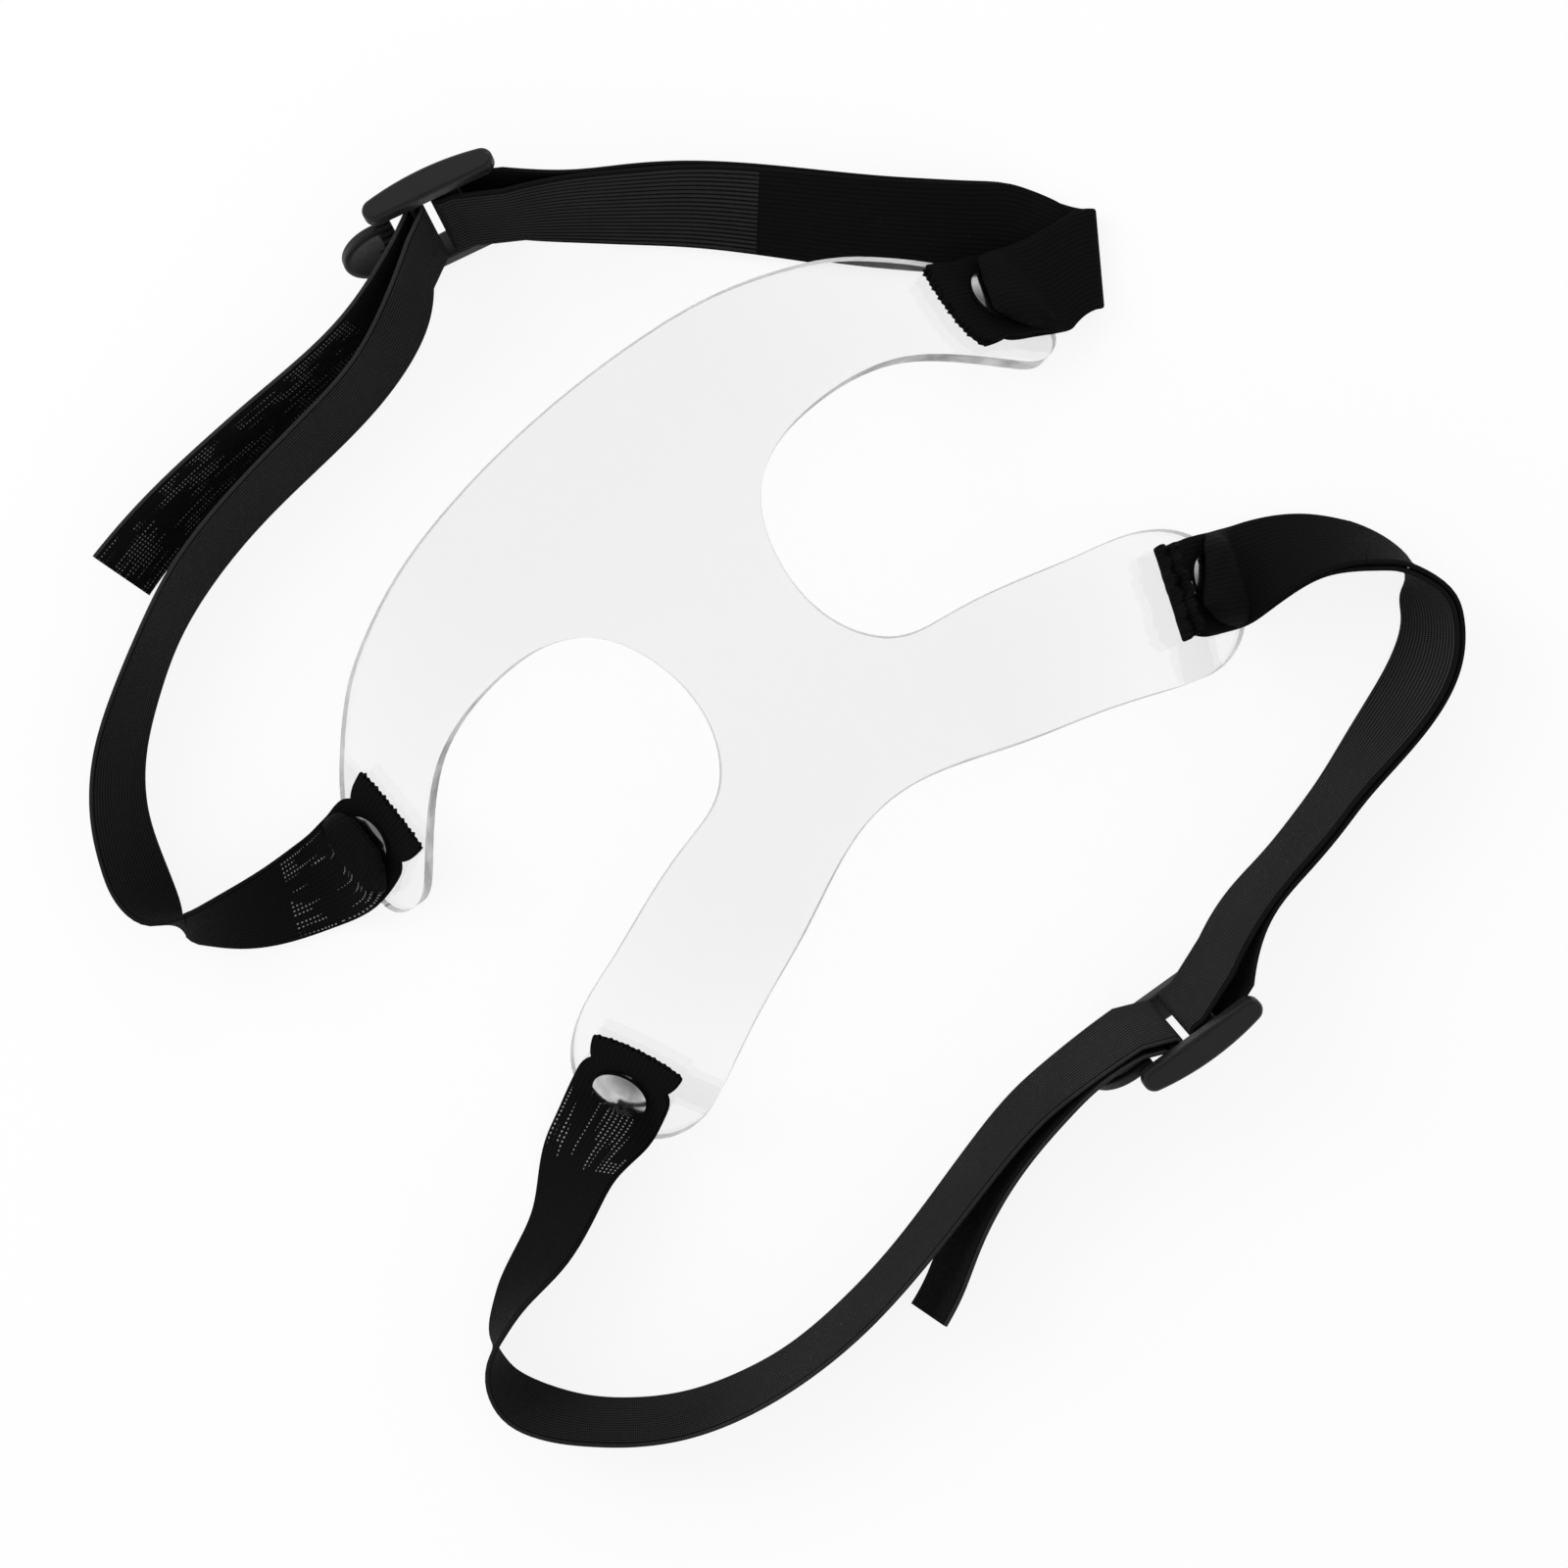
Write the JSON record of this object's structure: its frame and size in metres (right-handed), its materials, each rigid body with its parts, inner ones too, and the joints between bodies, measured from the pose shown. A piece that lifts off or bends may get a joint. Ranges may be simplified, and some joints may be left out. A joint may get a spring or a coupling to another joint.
{
  "type": "nose guard face mask",
  "caption": "Clear bent face mask with eye cut-outs, worn over the nose on two elastic head straps with ladder buckles and domed rivets.",
  "frame": {"origin": "in the plane that the plate's tips and lobes rest on, straight below the nose bridge", "axes": "+X from the left tip to the right tip, +Y toward the forehead, +Z away from the face"},
  "size_m": [0.2716, 0.263, 0.0532],
  "materials": {
    "clear_plate": "polished, see-through",
    "elastic_strap": "knitted elastic",
    "buckle_plastic": "moulded, satin",
    "rivet_metal": "bright"
  },
  "bodies": {
    "mask": {"face_plate": "clear_plate", "right_temple_rivet_cap": "rivet_metal", "right_temple_rivet_post": "rivet_metal", "left_temple_rivet_cap": "rivet_metal", "left_temple_rivet_post": "rivet_metal", "right_cheek_rivet_cap": "rivet_metal", "right_cheek_rivet_post": "rivet_metal", "left_cheek_rivet_cap": "rivet_metal", "left_cheek_rivet_post": "rivet_metal"},
    "upper_loop": {"upper_fixed_strap": "elastic_strap", "upper_adjust_strap": "elastic_strap"},
    "lower_loop": {"lower_fixed_strap": "elastic_strap", "lower_adjust_strap": "elastic_strap"},
    "upper_buckle": {"upper_buckle": "buckle_plastic"},
    "lower_buckle": {"lower_buckle": "buckle_plastic"}
  },
  "joints": [
    {"name": "upper_loop_swing", "type": "hinge", "parent": "mask", "child": "upper_loop", "pos_m": [0, 0.031, 0.01], "axis": [-1, 0, 0], "range_deg": [0, 90], "deforming": ["upper_fixed_strap", "upper_adjust_strap"]},
    {"name": "lower_loop_swing", "type": "hinge", "parent": "mask", "child": "lower_loop", "pos_m": [0, -0.0457, 0.014], "axis": [1, 0, 0], "range_deg": [0, 90], "deforming": ["lower_fixed_strap", "lower_adjust_strap"]},
    {"name": "upper_buckle_tilt", "type": "hinge", "parent": "upper_loop", "child": "upper_buckle", "pos_m": [0.01465, 0.12018, 0.01613], "axis": [-0.1044, -0.3765, -0.9205], "range_deg": [0, 25], "deforming": ["upper_fixed_strap", "upper_adjust_strap"]},
    {"name": "lower_buckle_tilt", "type": "hinge", "parent": "lower_loop", "child": "lower_buckle", "pos_m": [0.02146, -0.11339, 0.01613], "axis": [-0.0354, -0.3891, 0.9205], "range_deg": [0, 25], "deforming": ["lower_fixed_strap", "lower_adjust_strap"]}
  ]
}
